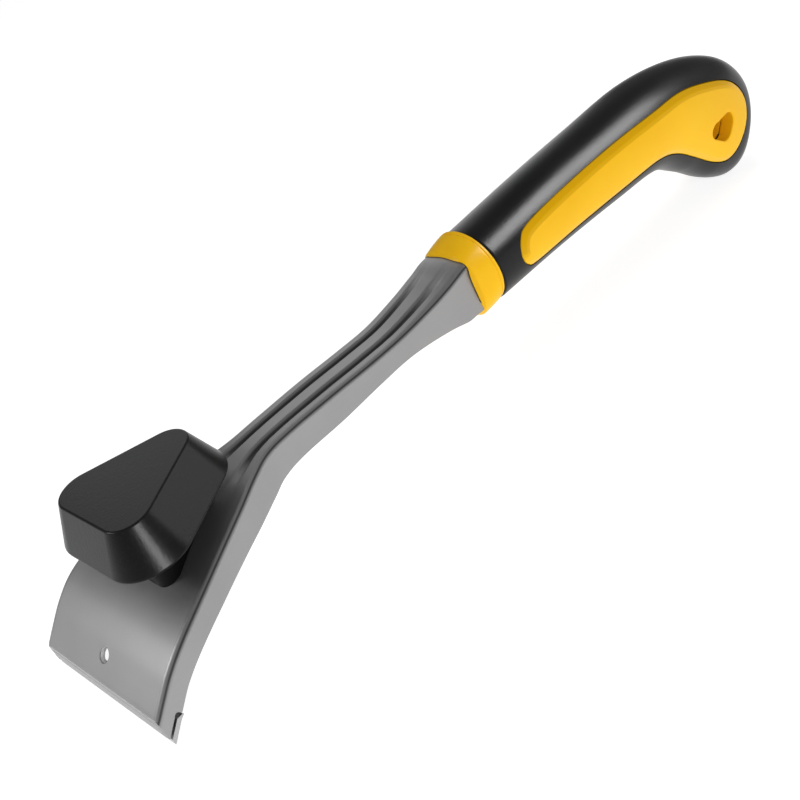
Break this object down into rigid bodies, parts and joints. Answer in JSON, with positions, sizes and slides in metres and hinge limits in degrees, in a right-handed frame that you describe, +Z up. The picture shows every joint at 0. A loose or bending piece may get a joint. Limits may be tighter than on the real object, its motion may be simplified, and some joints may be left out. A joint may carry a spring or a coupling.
{
  "type": "floor scraper",
  "caption": "Two-handed floor scraper: pressed steel channel with a wide clamped blade, a triangular second-hand knob and a hooked soft-grip handle with a hanging hole.",
  "frame": {"origin": "centre of the bounding box's foot, on the floor that the tool lies on", "axes": "+X along the tool from the blade towards the handle's tail, +Z up out of the knob's side, +Y across the blade; the tool rests on the blade's edge and on the tail of the handle"},
  "size_m": [0.318, 0.062, 0.0564],
  "materials": {
    "pressed_steel": "satin pressed steel with fine blasted grain",
    "blade_steel": "ground bright tool steel",
    "zinc_steel": "zinc plated",
    "knob_plastic": "satin black moulded plastic with a fine texture",
    "grip_rubber": "satin black soft moulding",
    "yellow_plastic": "semi-gloss moulded yellow plastic",
    "brass": "plain turned brass"
  },
  "bodies": {
    "frame": {"scraper_body": "pressed_steel", "blade_seat": "pressed_steel", "knob_pedestal": "knob_plastic", "thrust_washer": "zinc_steel", "collar": "yellow_plastic", "handle_core": "yellow_plastic", "grip_sleeve": "grip_rubber", "side_inlay_left": "yellow_plastic", "side_inlay_right": "yellow_plastic", "tang_pin_front": "zinc_steel", "tang_pin_rear": "zinc_steel"},
    "knob": {"knob_shell": "knob_plastic", "knob_insert": "brass"},
    "clamp": {"clamp_plate": "zinc_steel", "clamp_bolt": "zinc_steel"},
    "blade": {"blade": "blade_steel"}
  },
  "joints": [
    {"name": "knob_turn", "type": "hinge", "parent": "frame", "child": "knob", "pos_m": [-0.12339, 0, 0.04075], "axis": [-0.0792, 0, 0.9969], "range_deg": [0, 720]},
    {"name": "clamp_drop", "type": "slide", "parent": "frame", "child": "clamp", "axis": [0.0792, 0, -0.9969], "range_m": [0, 0.0025]},
    {"name": "blade_slide", "type": "slide", "parent": "clamp", "child": "blade", "axis": [0, 1, 0], "range_m": [-0.066, 0.066]}
  ],
  "couplings": [
    {"joint": "knob_turn", "follows": "clamp_drop", "rad_per_m": 5026.5}
  ]
}
